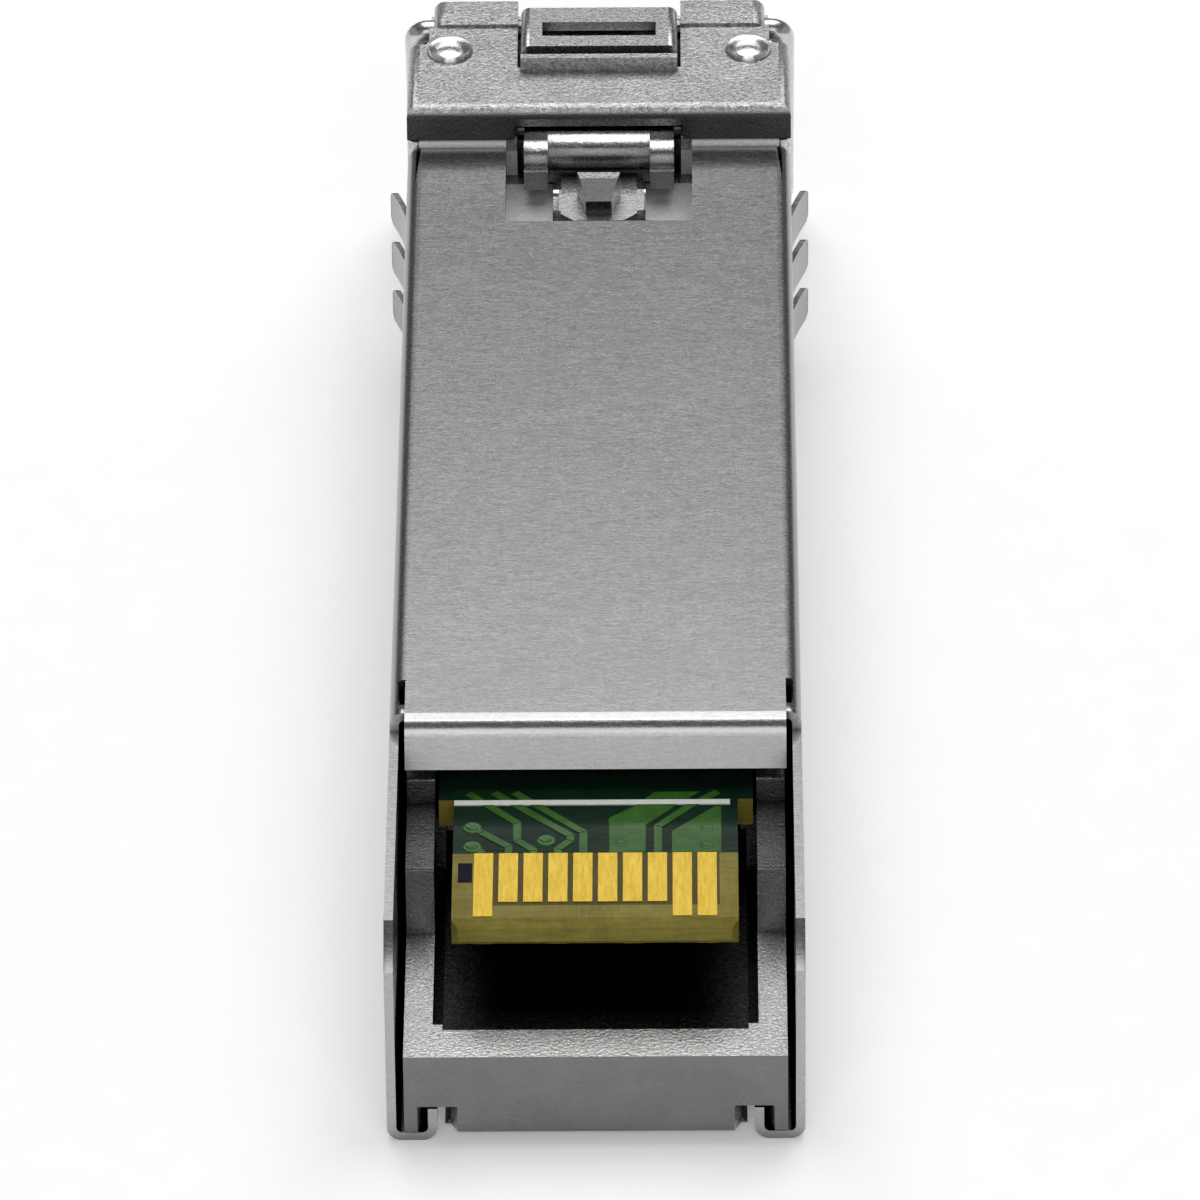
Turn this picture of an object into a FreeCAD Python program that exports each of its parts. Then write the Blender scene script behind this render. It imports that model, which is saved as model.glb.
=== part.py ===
import FreeCAD, Part
import math
import os
import re
import Sketcher
from FreeCAD import Placement, Rotation, Vector
from types import SimpleNamespace

# Small form-factor optical transceiver, lying on its label side with the latch side up.
# X is the width, +Y points to the optical face, +Z to the latch side, in millimetres.
# The origin is the middle of the rear end, on the plane that the cover's folded feet rest on.

# Driving dimensions
SIZES = {
    "module_length": 56.5,
    "nose_length": 9.0,
    "nose_gap": 0.1,
    "cutout_length": 5.0,
    "finger_back": 2.6,
    "stop_distance": 2.5,
    "crosswall_back": 2.3,
    "barrel_back": 0.55,
    "pivot_ahead": 2.0,
    "slot_ahead": 2.9,
    "lug_ahead": 3.45,
    "rivet_ahead": 4.0,
    "bail_back": 2.55,
    "channel_stop": 1.3,
    "cover_width": 13.4,
    "nose_flare": 0.02,
    "bail_inset": 0.22,
    "tab_inset": 0.65,
    "rivet_inset": 1.47,
    "cover_top": 8.5,
    "skirt_drop": 0.75,
    "board_depth": 2.25,
    "floor_drop": 2.0,
    "ledge_drop": 1.85,
    "axis_drop": 4.15,
    "deck_drop": 1.9,
    "slot_floor_drop": 2.2,
    "arm_drop": 0.9,
    "arm_rise": 0.1,
    "pivot_drop": 0.45,
    "barrel_rise": 0.15,
    "tongue_drop": 0.5,
    "nose_rise": 0.2,
    "plate_thick": 1.3,
    "bail_rise": 0.7,
    "lug_rise": 0.55,
    "arch_rise": 0.85,
    "sheet": 0.3,
    "edge_bend": 0.5,
    "fit_gap": 0.12,
    "side_gap": 0.26,
    "lip_y": 11.16,
    "shoulder_set": 0.46,
    "relief_set": 1.24,
    "cavity_set": 1.44,
    "lip_bend": 0.75,
    "lip_lean": 20,
    "lip_fall": 1.09,
    "lip_end_gap": 0.5,
    "skirt_chamfer": 1.2,
    "relief_length": 1.45,
    "relief_width": 0.24,
    "corner_relief": 2.2,
    "corner_inset": 0.3,
    "cutout_margin": 0.5,
    "hook_reach": 1.62,
    "hook_rise": 1.22,
    "hook_bend": 0.5,
    "finger_pitch": 2.0,
    "finger_width": 1.3,
    "finger_low": 1.8,
    "finger_length": 2.05,
    "finger_reach": 0.62,
    "finger_sag": 0.04,
    "finger_round": 0.3,
    "finger_sheet": 0.2,
    "floor_gap": 0.02,
    "wall": 0.92,
    "slot_width": 0.32,
    "slot_start": 1.8,
    "recess_start": 1.5,
    "recess_depth": 0.3,
    "slot_depth": 1.5,
    "groove_width": 0.85,
    "groove_top": 1.3,
    "groove_flare": 0.2,
    "mouth_flare": 0.22,
    "mouth_length": 0.45,
    "inner_floor": 1.75,
    "board_ledge": 0.5,
    "optics_room": 0.075,
    "optics_back_room": 0.9,
    "deck_margin": 0.7,
    "rocker_dip": 0.45,
    "keel_wall": 0.28,
    "keel_drop": 0.35,
    "tongue_gap": 0.3,
    "crosswall": 1.6,
    "barrel_room": 0.1,
    "nose_bottom": 0.3,
    "step_gap": 0.25,
    "leg_gap": 0.1,
    "nose_round": 0.35,
    "port_pitch": 6.25,
    "port_size": 4.75,
    "key_width": 3.2,
    "key_depth": 1.0,
    "key_length": 6.5,
    "plate_lift": 0.02,
    "plate_setback": 0.1,
    "plate_round": 0.4,
    "rib_thick": 0.28,
    "rib_height": 0.55,
    "tab_length": 1.5,
    "tab_rise": 0.12,
    "tab_round": 0.4,
    "notch_back": 1.9,
    "rear_arch_depth": 0.9,
    "rivet_shank": 0.55,
    "rivet_head": 0.82,
    "rivet_rim": 0.74,
    "moat_radius": 0.45,
    "moat_height": 0.02,
    "dome_height": 0.14,
    "rivet_height": 0.2,
    "rivet_depth": 1.4,
    "pin_radius": 0.4,
    "pin_half": 3.85,
    "running_fit": 0.03,
    "arm_inset": 0.13,
    "arch_room": 0.33,
    "rocker_gap": 0.12,
    "barrel_half": 1.78,
    "barrel_radius": 0.68,
    "boss_radius": 0.7,
    "boss_back": 0.2,
    "boss_drop": 0.16,
    "foot_length": 0.95,
    "tongue_half": 1.32,
    "tongue_room": 0.85,
    "tongue_thick": 0.6,
    "tongue_round": 0.45,
    "tooth_height": 0.45,
    "tooth_crest": 0.4,
    "tooth_length": 1.3,
    "tooth_half": 0.75,
    "tooth_tip_half": 0.45,
    "tooth_tail_rise": 0.55,
    "lug_half": 2.75,
    "lug_front_gap": 0.2,
    "rim_overhang": 0.25,
    "lug_wall": 0.36,
    "lug_round": 0.3,
    "window_half": 2.0,
    "window_wall": 0.7,
    "window_length": 0.95,
    "driver_half": 1.2,
    "driver_thick": 0.42,
    "driver_reach": 0.05,
    "driver_gap": 0.13,
    "spring_half": 0.9,
    "spring_sheet": 0.12,
    "spring_length": 3.0,
    "spring_gap": 0.03,
    "wire_radius": 0.4,
    "bail_bend": 0.45,
    "crank_ahead": 0.39,
    "crank_dip": 0.3,
    "crank_half": 1.6,
    "crank_jog": 0.75,
    "crank_gap": 0.1,
    "crossbar_gap": 0.3,
    "crossbar_z": 0.5,
    "board_end": 3.2,
    "edge_length": 6.95,
    "board_gap": 0.12,
    "board_step": 0.5,
    "board_front_gap": 1.3,
    "board_thick": 1.0,
    "board_corner": 0.2,
    "board_bevel": 0.25,
    "pad_pitch": 0.8,
    "pad_width": 0.62,
    "pad_sheet": 0.04,
    "pad_root": 3.85,
    "pad_long_set": 0.3,
    "pad_short_set": 1.1,
    "seat_gap": 0.02,
    "header_thick": 0.7,
    "header_radius": 2.3,
    "cap_radius": 1.5,
    "cap_length": 1.4,
    "holder_radius": 1.9,
    "holder_length": 3.1,
    "waist_radius": 1.45,
    "waist_length": 1.1,
    "collar_length": 0.78,
    "barrel_reach": 6.0,
    "sleeve_outer": 0.85,
    "ferrule_radius": 0.625,
    "sleeve_length": 3.5,
    "stub_length": 1.9,
    "flex_sheet": 0.12,
    "flex_half": 1.3,
    "flex_overlap": 1.9,
    "retainer_play": 0.05,
    "retainer_side_gap": 0.2,
    "retainer_room": 0.1,
    "chip_height": 0.85,
    "chip_back": 6.2,
    "capacitor_back": 10.6,
    "controller_back": 15.2,
    "driver_chip_size": 3.0,
    "amplifier_chip_size": 3.0,
    "controller_chip_size": 5.0,
    "chip_side_x": 2.6,
    "capacitor_length": 1.0,
    "capacitor_width": 0.5,
    "capacitor_height": 0.5,
    "capacitor_pitch": 1.6,
}
CAPACITORS = 6
CONTACTS = 10
FINGERS = 3
LATCH_SIDE_LONG = (0, 8, 9)
LABEL_SIDE_LONG = (0, 3, 6, 9)

# Sizes that follow from the driving ones
FOLLOWS = {
    "nose_y": "module_length - nose_length",
    "cover_front": "nose_y - nose_gap",
    "cutout_y": "nose_y - cutout_length",
    "finger_start": "nose_y - finger_back",
    "shoulder_line": "nose_y - stop_distance",
    "crosswall_start": "nose_y - crosswall_back",
    "barrel_y": "nose_y - barrel_back",
    "pivot_y": "nose_y + pivot_ahead",
    "plate_slot_start": "nose_y + slot_ahead",
    "lug_start": "nose_y + lug_ahead",
    "rivet_y": "nose_y + rivet_ahead",
    "bail_y": "module_length - bail_back",
    "channel_end": "module_length - channel_stop",
    "nose_step": "bail_y - wire_radius - step_gap",
    "tab_end": "nose_step + tab_length",
    "lug_front": "bail_y - wire_radius - lug_front_gap",
    "window_start": "lug_start + window_wall",
    "deck_start": "cutout_y - deck_margin",
    "tongue_end": "cutout_y + tongue_room",
    "shoulder_y": "lip_y - shoulder_set",
    "relief_start": "lip_y + relief_set",
    "cavity_start": "lip_y + cavity_set",
    "waist_y": "crosswall_start - seat_gap - collar_length - waist_length",
    "header_y": "waist_y - holder_length - header_thick",
    "optics_start": "header_y - optics_back_room",
    "barrel_end": "crosswall_start + barrel_reach",
    "board_front": "header_y - board_front_gap",
    "board_widen_y": "board_end + edge_length",
    "pad_inner": "board_end + pad_root",
    "pad_long_end": "board_end + pad_long_set",
    "pad_short_end": "board_end + pad_short_set",
    "chip_front_y": "board_front - chip_back",
    "capacitor_y": "board_front - capacitor_back",
    "controller_y": "board_front - controller_back",
    "base_half": "cover_width/2 - sheet - side_gap",
    "inner_half": "base_half - wall",
    "ledge_half": "inner_half - board_ledge",
    "recess_half": "inner_half - slot_width",
    "board_wide_half": "inner_half - board_gap",
    "board_half": "board_wide_half - board_step",
    "lip_half": "cover_width/2 - lip_end_gap",
    "nose_half": "cover_width/2 + nose_flare",
    "bail_half": "nose_half - bail_inset",
    "tab_outer": "bail_half - tab_inset",
    "rivet_x": "nose_half - rivet_inset",
    "nose_front_half": "bail_half - wire_radius - leg_gap",
    "channel_half": "lug_half + rocker_gap",
    "cutout_half": "lug_half + cutout_margin",
    "arm_half": "lug_half - arm_inset",
    "rear_arch_half": "arm_half + arch_room",
    "slot_half": "tongue_half + tongue_gap",
    "keel_half": "slot_half + keel_wall",
    "optics_half": "port_pitch/2 + header_radius + optics_room",
    "retainer_half": "optics_half - retainer_side_gap",
    "base_bottom": "sheet + floor_gap",
    "skirt_top": "cover_top - skirt_drop",
    "board_top": "cover_top - board_depth",
    "board_bottom": "board_top - board_thick",
    "floor_top": "board_bottom - floor_drop",
    "ledge_top": "cover_top - ledge_drop",
    "axis_height": "cover_top - axis_drop",
    "deck_bottom": "cover_top - deck_drop",
    "tongue_slot_floor": "cover_top - slot_floor_drop",
    "keel_bottom": "tongue_slot_floor - keel_drop",
    "arm_bottom": "cover_top - arm_drop",
    "arm_top": "cover_top + arm_rise",
    "pocket_floor": "arm_bottom - rocker_dip",
    "pivot_z": "cover_top - pivot_drop",
    "barrel_z": "cover_top + barrel_rise",
    "tongue_top": "cover_top - tongue_drop",
    "nose_top": "cover_top + nose_rise",
    "plate_top": "nose_top + plate_thick",
    "rear_arch_top": "nose_top + arch_rise",
    "bail_z": "nose_top + bail_rise",
    "lug_top": "plate_top + lug_rise",
    "driver_underside": "bail_z + wire_radius - crank_dip + driver_gap",
    "driver_top": "driver_underside + driver_thick",
    "crossbar_y": "module_length + crossbar_gap + wire_radius",
}

# Tests for picking edges
PARALLEL = 0.9
CLOSE = 0.01
DIAGONAL = math.sqrt(0.5)
MITRED = 1

doc = FreeCAD.newDocument("Transceiver")
sheet = doc.addObject("Spreadsheet::Sheet", "Sizes")
for row, (alias, value) in enumerate(SIZES.items(), start=1):
    sheet.set("A%d" % row, alias)
    sheet.set("B%d" % row, str(value))
    sheet.setAlias("B%d" % row, alias)
doc.recompute()
nodes = []


def bound(expression):
    """The expression with each size named as a cell of the sheet, or as what it follows from."""
    def cell(word):
        name = word.group(0)
        return "(%s)" % bound(FOLLOWS[name]) if name in FOLLOWS else "Sizes." + name
    return re.sub(r"[A-Za-z_]\w*", cell, expression)


size = SimpleNamespace(**{name: float(sheet.evalExpression(bound(name))) for name in (*SIZES, *FOLLOWS)})


def place(thing, x, y, z, rotation=None):
    """Bind a feature's position to sizes."""
    if rotation:
        thing.Placement = Placement(Vector(), rotation)
    for axis, expression in zip("xyz", (x, y, z)):
        thing.setExpression("Placement.Base." + axis, bound(expression))
    return thing


def box(name, x, y, z):
    """A block between two expressions on each axis."""
    block = doc.addObject("Part::Box", name)
    for side, (low, high) in zip(("Length", "Width", "Height"), (x, y, z)):
        block.setExpression(side, bound("(%s) - (%s)" % (high, low)))
    return place(block, x[0], y[0], z[0])


ALONG = {
    "x": Rotation(Vector(0, 1, 0), 90),
    "y": Rotation(Vector(1, 0, 0), -90),
    "z": Rotation(),
}


def rod(name, axis, start, length, radius):
    """A cylinder along one axis, from its start point."""
    cylinder = doc.addObject("Part::Cylinder", name)
    cylinder.setExpression("Radius", bound(radius))
    cylinder.setExpression("Height", bound(length))
    return place(cylinder, *start, rotation=ALONG[axis])


def fuse(name, pieces):
    joined = doc.addObject("Part::MultiFuse", name)
    joined.Shapes = pieces
    joined.Refine = True
    return joined


def cut(name, base, tools):
    removed = doc.addObject("Part::Cut", name)
    removed.Base = base
    removed.Tool = tools[0] if len(tools) == 1 else fuse(name + "_tools", tools)
    removed.Refine = True
    return removed


def both_sides(make, name):
    """The same feature on the -X and +X side; make gets a name and a sign."""
    return [make(name + "_left", "-1"), make(name + "_right", "1")]


def span(half):
    """From minus to plus one size."""
    return "-" + half, half


def mirrored(sign, low, high):
    """A span on the +X side, or the same span on the -X side."""
    return (low, high) if sign == "1" else ("-(%s)" % high, "-(%s)" % low)


def round_edges(name, base, radius, wanted):
    """Fillet the edges of a feature that the test picks by their midpoint and direction."""
    doc.recompute()
    picked = []
    for number, edge in enumerate(base.Shape.Edges, start=1):
        if edge.Curve.TypeId != "Part::GeomLine":
            continue
        if wanted(edge.CenterOfMass, edge.Curve.Direction):
            picked.append((number, radius, radius))
    rounded = doc.addObject("Part::Fillet", name)
    rounded.Base = base
    rounded.Edges = picked
    return rounded


def shaped(name, shape):
    """A feature whose shape is worked out from the sizes."""
    feature = doc.addObject("Part::Feature", name)
    feature.Shape = shape
    return feature


def keep(feature, label):
    """Name a finished piece."""
    feature.Label = label
    nodes.append(feature)
    return feature


def new_sketch(body, plane, name, offset="0"):
    """A sketch on one of the body's own origin planes, moved along the plane's normal."""
    sketch = body.newObject("Sketcher::SketchObject", name)
    origin = [part for part in body.Origin.OriginFeatures if part.Role == plane][0]
    sketch.AttachmentSupport = [(origin, "")]
    sketch.MapMode = "FlatFace"
    sketch.setExpression("AttachmentOffset.Base.z", bound(offset))
    return sketch


def outline(sketch, points):
    """A closed polygon whose corners are bound to sizes."""
    count = len(points)
    start = [Vector(index, index * index, 0) for index in range(count)]
    for index in range(count):
        sketch.addGeometry(Part.LineSegment(start[index], start[(index + 1) % count]))
    for index in range(count):
        sketch.addConstraint(Sketcher.Constraint("Coincident", index, 2, (index + 1) % count, 1))
    for index, (across, up) in enumerate(points):
        for kind, expression in (("DistanceX", across), ("DistanceY", up)):
            number = sketch.addConstraint(Sketcher.Constraint(kind, -1, 1, index, 1, 1.0))
            sketch.setExpression("Constraints[%d]" % number, bound(expression))
    return sketch


def rectangle(x, y):
    return [(x[0], y[0]), (x[1], y[0]), (x[1], y[1]), (x[0], y[1])]


def padded(name, plane, points, length, offset="0"):
    """A body padded from one outline."""
    body = doc.addObject("PartDesign::Body", name)
    sketch = outline(new_sketch(body, plane, name + "_sketch", offset), points)
    pad = body.newObject("PartDesign::Pad", name + "_pad")
    pad.Profile = sketch
    pad.setExpression("Length", bound(length))
    return body


def turned(name, points, x, y, z, rotation):
    """A body of revolution: the points are radius and height along its own axis."""
    body = doc.addObject("PartDesign::Body", name)
    sketch = outline(new_sketch(body, "XZ_Plane", name + "_sketch"), points)
    revolution = body.newObject("PartDesign::Revolution", name + "_turn")
    revolution.Profile = sketch
    revolution.ReferenceAxis = (sketch, ["V_Axis"])
    revolution.Angle = 360
    return place(body, x, y, z, rotation)


# Folded sheet cover: one strip bent into a channel, with hooks that slide in the base's grooves
def cover_section():
    """The folded strip seen from the rear, as a face."""
    half = size.cover_width / 2
    top = size.cover_top
    bend = size.edge_bend
    foot = size.hook_bend
    turn = half - size.hook_reach

    def side(sign):
        def at(x, z):
            return Vector(sign * x, 0, z)
        return [
            Part.LineSegment(at(0, top), at(half - bend, top)).toShape(),
            Part.Arc(at(half - bend, top), at(half - bend + bend * DIAGONAL, top - bend + bend * DIAGONAL),
                     at(half, top - bend)).toShape(),
            Part.LineSegment(at(half, top - bend), at(half, foot)).toShape(),
            Part.Arc(at(half, foot), at(half - foot + foot * DIAGONAL, foot - foot * DIAGONAL),
                     at(half - foot, 0)).toShape(),
            Part.LineSegment(at(half - foot, 0), at(turn + foot, 0)).toShape(),
            Part.Arc(at(turn + foot, 0), at(turn + foot - foot * DIAGONAL, foot - foot * DIAGONAL),
                     at(turn, foot)).toShape(),
            Part.LineSegment(at(turn, foot), at(turn, size.hook_rise)).toShape(),
        ]

    right = side(1)
    left = side(-1)
    strip = Part.Wire(list(reversed(left)) + right)
    inside = strip.makeOffset2D(-size.sheet, openResult=True, fill=True)
    outside = strip.makeOffset2D(size.sheet, openResult=True, fill=True)
    return min((inside, outside), key=lambda face: face.BoundBox.XLength)


def lip_section():
    """The rear lip's bend and leaning fall, seen from the side, as a face."""
    outer = size.lip_bend
    inner = outer - size.sheet
    turn = math.radians(90 - size.lip_lean)
    centre = Vector(0, size.lip_y + outer, size.cover_top - outer)
    fall = Vector(0, -math.cos(turn), -math.sin(turn)) * size.lip_fall

    def around(radius, angle):
        return centre + Vector(0, -math.sin(angle), math.cos(angle)) * radius

    def bend(radius):
        return Part.Arc(around(radius, 0), around(radius, turn / 2), around(radius, turn)).toShape()

    top, under = around(outer, turn), around(inner, turn)
    corners = [top, top + fall, under + fall, under]
    edges = [Part.LineSegment(start, end).toShape() for start, end in zip(corners, corners[1:])]
    root = Part.LineSegment(around(inner, 0), around(outer, 0)).toShape()
    return Part.Face(Part.Wire([bend(outer)] + edges + [bend(inner), root]))


def bowed_strip(bow, thick):
    """The face between an arc and the same arc set in by the sheet."""
    outer = bow(0)
    inner = bow(thick)
    edges = [
        outer.toShape(),
        Part.LineSegment(outer.EndPoint, inner.EndPoint).toShape(),
        inner.toShape(),
        Part.LineSegment(inner.StartPoint, outer.StartPoint).toShape(),
    ]
    return Part.Face(Part.Wire(Part.sortEdges(edges)[0]))


def finger_strip(sign, low):
    """One sprung contact finger, flared out of the side up to its free, rounded front tip."""
    half = size.cover_width / 2
    start = size.finger_start
    length = size.finger_length
    reach = size.finger_reach

    def bow(inset):
        def at(out, along):
            return Vector(sign * (half + out - inset), start + along, low)
        return Part.Arc(at(0, 0), at(reach / 2 - size.finger_sag, length / 2), at(reach, length))

    leaf = bowed_strip(bow, size.finger_sheet).extrude(Vector(0, 0, size.finger_width))
    tip = [edge for edge in leaf.Edges
           if edge.BoundBox.ZLength < CLOSE and edge.BoundBox.YMin > start + length - CLOSE]
    return leaf.makeFillet(size.finger_round, tip)


def make_cover():
    half = "cover_width/2"
    channel = shaped("channel", cover_section().extrude(Vector(0, size.cover_front, 0)))
    lip_face = lip_section()
    lip_face.translate(Vector(-size.lip_half, 0, 0))
    lip = shaped("lip", lip_face.extrude(Vector(2 * size.lip_half, 0, 0)))

    over = "cover_top + sheet"
    beyond = "cover_front + sheet"
    corner = [("0 - sheet", "skirt_top + sheet"), ("skirt_chamfer + sheet", "skirt_top + sheet"),
              ("0 - sheet", "skirt_top - skirt_chamfer - sheet")]
    tools = [
        box("rear_opening", ("-" + half, half), ("-sheet", "lip_y + lip_bend"), ("skirt_top", over)),
        box("latch_cutout", span("cutout_half"), ("cutout_y", beyond),
            ("cover_top - edge_bend", over)),
        padded("rear_chamfer", "YZ_Plane", corner, "cover_width", "0 - " + half),
    ]

    def relief(name, sign):
        edge = "%s*(%s - edge_bend)" % (sign, half)
        far = "%s*(%s - edge_bend + relief_width)" % (sign, half)
        low, high = (edge, far) if sign == "1" else (far, edge)
        return box(name, (low, high), ("relief_start", "relief_start + relief_length"),
                   ("cover_top - edge_bend", over))

    def front_corner(name, sign):
        def across(inset):
            return "%s*(%s - %s)" % (sign, half, inset)
        notch = [(across("edge_bend"), beyond), (across("0 - sheet"), beyond),
                 (across("0 - sheet"), "cover_front - corner_relief/2"),
                 (across("corner_inset"), "cover_front - corner_relief")]
        return padded(name, "XY_Plane", notch, "edge_bend + sheet", "cover_top - edge_bend")

    tools += both_sides(relief, "bend_relief")
    tools += both_sides(front_corner, "front_corner")
    fingers = []
    for index in range(FINGERS):
        low = "finger_low + %d*finger_pitch" % index
        tools.append(box("finger_window%d" % index, ("-" + half + " - sheet", half + " + sheet"),
                         ("finger_start + finger_sheet", "finger_start + finger_length + finger_sheet"),
                         (low + " - fit_gap", low + " + finger_width + fit_gap")))
        height = size.finger_low + index * size.finger_pitch
        for sign in (-1, 1):
            fingers.append(shaped("finger%d" % index, finger_strip(sign, height)))
    folded = cut("folded_cover", channel, tools)
    keep(fuse("cover", [folded, lip] + fingers), "cover_shell")


make_cover()


# Cast base: floor, side walls, board ledges, latch deck and the nose with both connector ports
def make_base():
    over = "plate_top"
    body = box("tub", span("base_half"), ("0", "nose_y"), ("base_bottom", "cover_top - sheet - fit_gap"))
    nose_block = box("nose_block", span("nose_half"), ("nose_y", "nose_step"), ("nose_bottom", "nose_top"))

    def nose_corner(middle, direction):
        at_side = abs(middle.x) > size.nose_half - CLOSE
        lengthwise = abs(direction.y) > PARALLEL and middle.z < size.nose_bottom + CLOSE
        return at_side and (abs(direction.z) > PARALLEL or lengthwise)

    nose = round_edges("nose_rear", nose_block, size.nose_round, nose_corner)
    front = box("nose_front", span("nose_front_half"), ("nose_step", "module_length"),
                ("nose_bottom", "cover_top"))

    def ear(name, sign):
        return box(name, mirrored(sign, "channel_half", "tab_outer"), ("nose_step", "tab_end"),
                   ("cover_top", "bail_z"))

    solid = fuse("base_solid", [body, nose, front] + both_sides(ear, "bail_ear"))
    tools = [
        box("rear_step", span("base_half"), ("-sheet", "shoulder_y"), ("floor_top", over)),
        box("lip_step", span("base_half"), ("-sheet", "lip_y + lip_bend"), ("ledge_top", over)),
        box("upper_cavity", span("inner_half"), ("shoulder_y - sheet", "deck_start"),
            ("board_bottom", over)),
        box("lower_cavity", span("ledge_half"), ("cavity_start", "crosswall_start"),
            ("inner_floor", "board_top")),
        box("rear_floor_gap", span("ledge_half"),
            ("shoulder_y - sheet", "cavity_start + sheet"), ("floor_top", "board_top")),
        box("floor_recess", span("recess_half"), ("recess_start", "cavity_start + sheet"),
            ("floor_top - recess_depth", "board_top")),
        box("optics_bay", span("optics_half"), ("optics_start", "crosswall_start"),
            ("inner_floor", "deck_bottom")),
        box("optics_mouth", span("optics_half"), ("optics_start", "deck_start"),
            ("inner_floor", over)),
        box("latch_pocket", span("cutout_half"), ("cutout_y", "nose_y + sheet"),
            ("pocket_floor", over)),
        box("rocker_channel", span("channel_half"), ("nose_y", "channel_end"),
            ("pocket_floor", over)),
        rod("pin_hole", "x", ("-pin_half - running_fit", "pivot_y", "pivot_z"),
            "2*pin_half + 2*running_fit", "pin_radius"),
        rod("bail_groove", "x", ("-bail_half", "bail_y", "bail_z"), "2*bail_half",
            "wire_radius + running_fit"),
    ]

    def side_slot(name, sign):
        return box(name, mirrored(sign, "recess_half", "inner_half"),
                   ("slot_start", "shoulder_y"), ("floor_top - slot_depth", over))

    def across_groove(sign, inset):
        return "%s*(cover_width/2 - hook_reach + sheet + fit_gap - (%s))" % (sign, inset)

    def hook_groove(name, sign):
        def across(inset):
            return across_groove(sign, inset)
        profile = [(across("0"), "0"), (across("0"), "groove_top"), (across("groove_width"), "groove_top"),
                   (across("groove_width"), "base_bottom + groove_flare"),
                   (across("groove_width - groove_flare"), "base_bottom"),
                   (across("groove_width - groove_flare"), "0")]
        return padded(name, "XZ_Plane", profile, "nose_y + sheet", "0 - nose_y")

    def groove_mouth(name, sign):
        plan = [(across_groove(sign, "0 - mouth_flare"), "0"), (across_groove(sign, "0"), "mouth_length"),
                (across_groove(sign, "groove_width"), "mouth_length"),
                (across_groove(sign, "groove_width + mouth_flare"), "0")]
        return padded(name, "XY_Plane", plan, "groove_top", "0")

    def port(name, sign):
        middle = "%s*port_pitch/2" % sign
        return box(name, (middle + " - port_size/2", middle + " + port_size/2"),
                   ("crosswall_start + crosswall", "module_length + sheet"),
                   ("axis_height - port_size/2", "axis_height + port_size/2"))

    def port_key(name, sign):
        middle = "%s*port_pitch/2" % sign
        return box(name, (middle + " - key_width/2", middle + " + key_width/2"),
                   ("module_length - key_length", "module_length + sheet"),
                   ("axis_height - port_size/2 - key_depth", "axis_height"))

    def barrel_hole(name, sign):
        return rod(name, "y", ("%s*port_pitch/2" % sign, "crosswall_start - sheet", "axis_height"),
                   "crosswall + 2*sheet", "waist_radius + barrel_room")

    def rivet_hole(name, sign):
        return rod(name, "z", ("%s*rivet_x" % sign, "rivet_y", "nose_top - rivet_depth"),
                   "rivet_depth + sheet", "rivet_shank")

    for make, name in ((side_slot, "side_slot"), (hook_groove, "hook_groove"),
                       (groove_mouth, "groove_mouth"), (port, "port"), (port_key, "port_key"),
                       (barrel_hole, "barrel_hole"), (rivet_hole, "rivet_hole")):
        tools += both_sides(make, name)
    hollow = cut("base_hollow", solid, tools)
    keel = box("keel", span("keel_half"), ("deck_start", "crosswall_start + sheet"),
               ("keel_bottom", "pocket_floor"))
    keeled = fuse("base_keeled", [hollow, keel])
    slot = box("tongue_slot", span("slot_half"), ("tongue_end - tongue_gap", "nose_y"),
               ("tongue_slot_floor", over))

    def holder_room(name, sign):
        return rod(name, "y", ("%s*port_pitch/2" % sign, "header_y", "axis_height"),
                   "crosswall_start - header_y", "holder_radius + barrel_room")

    tools = [slot] + both_sides(holder_room, "holder_room")
    keep(cut("base", keeled, tools), "base_housing")


make_base()


# Nose plate: closes the rocker's channel, holds the bail down and is staked by two rivets
def make_plate():
    under = "nose_top + plate_lift"
    rear = "nose_y + plate_setback"
    block = box("plate_block", span("nose_half"), (rear, "nose_step"), (under, "plate_top"))

    def top_edge(middle, direction):
        on_top = abs(middle.z - size.plate_top) < CLOSE
        rear_edge = abs(direction.x) > PARALLEL and middle.y < size.pivot_y
        return on_top and (rear_edge or abs(direction.y) > PARALLEL)

    slab = round_edges("plate_slab", block, size.plate_round, top_edge)

    def outer_edge(middle, direction):
        on_top = abs(middle.z - size.plate_top - size.tab_rise) < CLOSE
        return on_top and abs(middle.x) > size.tab_outer - CLOSE

    def tab(name, sign):
        block = box(name + "_block", mirrored(sign, "channel_half", "tab_outer"),
                    ("nose_step - plate_setback", "tab_end"),
                    ("bail_z + plate_lift", "plate_top + tab_rise"))
        return round_edges(name, block, size.tab_round, outer_edge)

    rib = box("stop_rib", span("lug_half"), ("plate_slot_start - rib_thick", "plate_slot_start"),
              ("plate_top - plate_lift", "plate_top + rib_height"))
    solid = fuse("plate_solid", [slab, rib] + both_sides(tab, "bail_tab"))
    tools = [
        box("lug_slot", span("channel_half"), ("plate_slot_start", "tab_end"),
            (under + " - sheet", "plate_top + rib_height")),
        box("rear_arch", span("rear_arch_half"),
            (rear + " - sheet", rear + " + rear_arch_depth"), (under + " - sheet", "rear_arch_top")),
        rod("bail_cap", "x", ("-bail_half", "bail_y", "bail_z"), "2*bail_half", "wire_radius + running_fit"),
    ]

    def rivet_hole(name, sign):
        return rod(name, "z", ("%s*rivet_x" % sign, "rivet_y", under + " - sheet"),
                   "plate_top - nose_top + 2*sheet", "rivet_shank")

    def bend_notch(name, sign):
        return box(name, mirrored(sign, "nose_front_half", "nose_half + sheet"),
                   ("bail_y - notch_back", "nose_step + sheet"), (under + " - sheet", "plate_top + sheet"))

    tools += both_sides(rivet_hole, "plate_rivet_hole") + both_sides(bend_notch, "bend_notch")
    keep(cut("plate", solid, tools), "nose_plate")


make_plate()


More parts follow.
